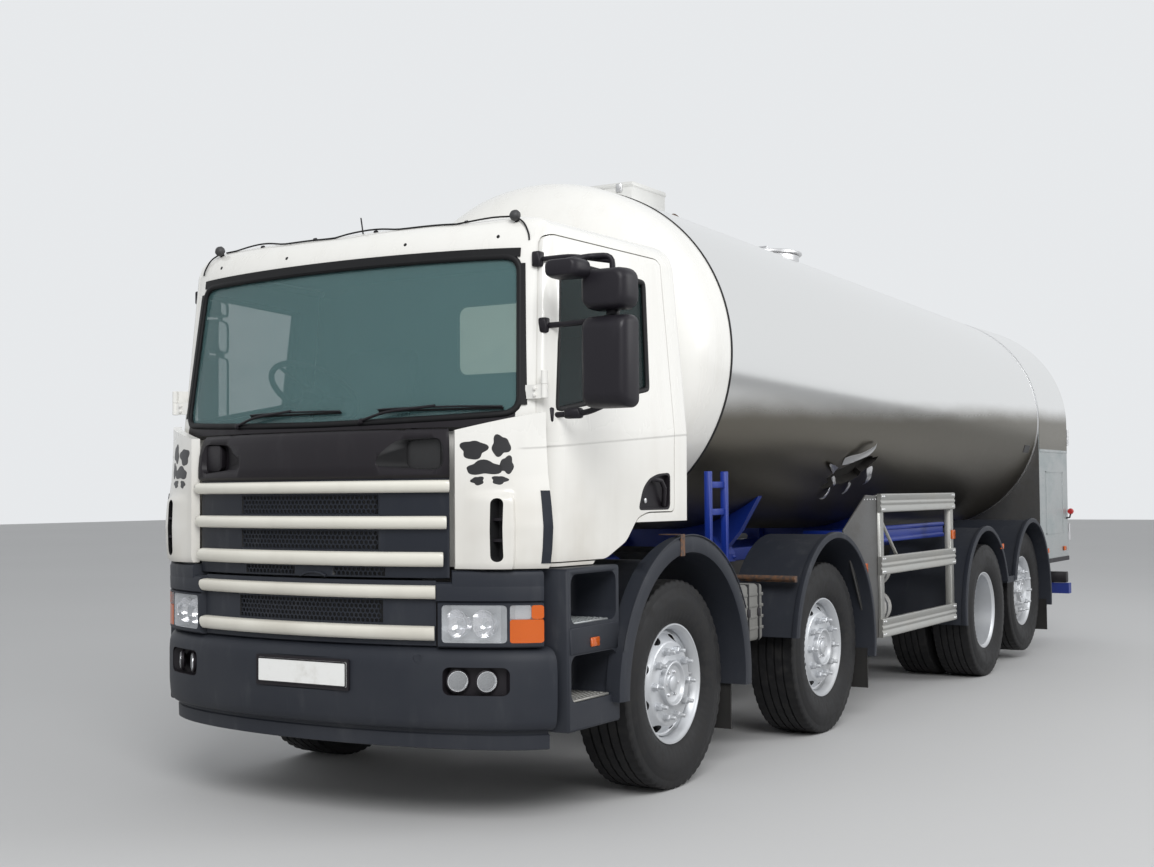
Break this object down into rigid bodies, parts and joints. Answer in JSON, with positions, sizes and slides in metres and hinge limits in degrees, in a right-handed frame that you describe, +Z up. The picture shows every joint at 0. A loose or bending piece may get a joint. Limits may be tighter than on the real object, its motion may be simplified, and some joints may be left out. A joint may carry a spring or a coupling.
{
  "type": "tanker truck",
  "caption": "Rigid milk tanker truck with a day cab, an elliptical steel tank sloping to a rear cabinet, twin steered axles and a lifted tag axle.",
  "frame": {"origin": "centre of the footprint of the truck's bounding box, on the ground", "axes": "+X to the truck's left side, +Y to its rear, +Z up; the truck faces -Y"},
  "size_m": [3.04, 10.01, 3.315],
  "materials": {
    "white_paint": "semi-gloss",
    "dark_plastic": "grained",
    "glass": "tinted",
    "polished_steel": "polished",
    "blue_paint": "gloss",
    "black_paint": "satin",
    "galvanised": "galvanised",
    "lamp_glass": "clear",
    "cab_trim": "grained",
    "seat_cloth": "woven",
    "wheels": "worn"
  },
  "bodies": {
    "vehicle": {"air_tanks": "white_paint", "axle_beam_first": "black_paint", "axle_beam_second": "black_paint", "battery_box": "galvanised", "cab_arch_left": "dark_plastic", "cab_arch_right": "dark_plastic", "cab_shell": "white_paint", "chassis_frame": "blue_paint", "corner_panel_left": "white_paint", "corner_panel_right": "white_paint", "dashboard": "cab_trim", "drive_axle": "black_paint", "engine_block": "black_paint", "front_bumper": "dark_plastic", "fuel_tank": "galvanised", "headlamp_left": "lamp_glass", "headlamp_right": "lamp_glass", "lower_grille": "dark_plastic", "mudguard_rear_left": "dark_plastic", "mudguard_rear_right": "dark_plastic", "mudguard_second_left": "dark_plastic", "mudguard_second_right": "dark_plastic", "rear_bumper": "blue_paint", "rear_cabinet": "galvanised", "seat_driver": "seat_cloth", "seat_passenger": "seat_cloth", "side_guard_left": "galvanised", "side_guard_right": "galvanised", "tag_axle": "black_paint", "tank_barrel": "polished_steel", "tank_front_end": "white_paint", "tank_subframe": "blue_paint", "tank_top_box": "white_paint", "windscreen": "glass"},
    "steered_first_left": {"knuckle_first_left": "black_paint"},
    "turning_first_left": {"wheel_first_left": "wheels"},
    "steered_second_left": {"knuckle_second_left": "black_paint"},
    "turning_second_left": {"wheel_second_left": "wheels"},
    "turning_drive_left": {"wheel_drive_left": "wheels"},
    "turning_tag_left": {"wheel_tag_left": "wheels"},
    "door_left": {"cab_door_left": "white_paint", "door_glass_left": "glass", "door_mirror_left": "dark_plastic"},
    "cabinet_door_left": {"rear_door_left": "galvanised"},
    "steered_first_right": {"knuckle_first_right": "black_paint"},
    "turning_first_right": {"wheel_first_right": "wheels"},
    "steered_second_right": {"knuckle_second_right": "black_paint"},
    "turning_second_right": {"wheel_second_right": "wheels"},
    "turning_drive_right": {"wheel_drive_right": "wheels"},
    "turning_tag_right": {"wheel_tag_right": "wheels"},
    "door_right": {"cab_door_right": "white_paint", "door_glass_right": "glass", "door_mirror_right": "dark_plastic"},
    "cabinet_door_right": {"rear_door_right": "galvanised"},
    "hatch": {"front_hatch": "dark_plastic"},
    "lid": {"manway_lid": "polished_steel"},
    "steering": {"steering_wheel": "cab_trim"}
  },
  "joints": [
    {"name": "steer_first_left", "type": "hinge", "parent": "vehicle", "child": "steered_first_left", "pos_m": [0.86, -3.55, 0.50965], "axis": [0, 0, 1], "range_deg": [-32, 32]},
    {"name": "spin_first_left", "type": "hinge", "parent": "steered_first_left", "child": "turning_first_left", "pos_m": [1.013, -3.55, 0.50965], "axis": [1, 0, 0], "continuous": true},
    {"name": "steer_first_right", "type": "hinge", "parent": "vehicle", "child": "steered_first_right", "pos_m": [-0.86, -3.55, 0.50965], "axis": [0, 0, 1], "range_deg": [-32, 32]},
    {"name": "spin_first_right", "type": "hinge", "parent": "steered_first_right", "child": "turning_first_right", "pos_m": [-1.013, -3.55, 0.50965], "axis": [1, 0, 0], "continuous": true},
    {"name": "steer_second_left", "type": "hinge", "parent": "vehicle", "child": "steered_second_left", "pos_m": [0.86, -1.61, 0.50965], "axis": [0, 0, 1], "range_deg": [-22, 22]},
    {"name": "spin_second_left", "type": "hinge", "parent": "steered_second_left", "child": "turning_second_left", "pos_m": [1.013, -1.61, 0.50965], "axis": [1, 0, 0], "continuous": true},
    {"name": "steer_second_right", "type": "hinge", "parent": "vehicle", "child": "steered_second_right", "pos_m": [-0.86, -1.61, 0.50965], "axis": [0, 0, 1], "range_deg": [-22, 22]},
    {"name": "spin_second_right", "type": "hinge", "parent": "steered_second_right", "child": "turning_second_right", "pos_m": [-1.013, -1.61, 0.50965], "axis": [1, 0, 0], "continuous": true},
    {"name": "spin_drive_left", "type": "hinge", "parent": "vehicle", "child": "turning_drive_left", "pos_m": [1.013, 1.55, 0.50965], "axis": [1, 0, 0], "continuous": true},
    {"name": "spin_tag_left", "type": "hinge", "parent": "vehicle", "child": "turning_tag_left", "pos_m": [1.013, 2.905, 0.57565], "axis": [1, 0, 0], "continuous": true},
    {"name": "cab_door_left", "type": "hinge", "parent": "vehicle", "child": "door_left", "pos_m": [1.112, -4.678, 1.13], "axis": [0, 0, -1], "range_deg": [0, 70]},
    {"name": "rear_door_left", "type": "hinge", "parent": "vehicle", "child": "cabinet_door_left", "pos_m": [1.0523, 4.9805, 0.79], "axis": [0, 0, -1], "range_deg": [0, 110]},
    {"name": "spin_drive_right", "type": "hinge", "parent": "vehicle", "child": "turning_drive_right", "pos_m": [-1.013, 1.55, 0.50965], "axis": [1, 0, 0], "continuous": true},
    {"name": "spin_tag_right", "type": "hinge", "parent": "vehicle", "child": "turning_tag_right", "pos_m": [-1.013, 2.905, 0.57565], "axis": [1, 0, 0], "continuous": true},
    {"name": "cab_door_right", "type": "hinge", "parent": "vehicle", "child": "door_right", "pos_m": [-1.112, -4.678, 1.13], "axis": [0, 0, 1], "range_deg": [0, 70]},
    {"name": "rear_door_right", "type": "hinge", "parent": "vehicle", "child": "cabinet_door_right", "pos_m": [-1.0523, 4.9805, 0.79], "axis": [0, 0, 1], "range_deg": [0, 110]},
    {"name": "front_hatch", "type": "hinge", "parent": "vehicle", "child": "hatch", "pos_m": [0, -4.885, 1.712], "axis": [-1, 0, 0], "range_deg": [0, 60]},
    {"name": "manway_lid", "type": "hinge", "parent": "vehicle", "child": "lid", "pos_m": [0, 0.449, 3.2136], "axis": [-1, 0, 0], "range_deg": [0, 100]},
    {"name": "steering_wheel", "type": "hinge", "parent": "vehicle", "child": "steering", "pos_m": [-0.58, -4.23, 1.98], "axis": [0, 0.5736, 0.8192], "range_deg": [-580, 580]}
  ],
  "couplings": [
    {"joint": "steer_first_right", "follows": "steer_first_left", "ratio": 1},
    {"joint": "steer_second_left", "follows": "steer_first_left", "ratio": 0.65},
    {"joint": "steer_second_right", "follows": "steer_first_left", "ratio": 0.65},
    {"joint": "steering_wheel", "follows": "steer_first_left", "ratio": 18}
  ]
}
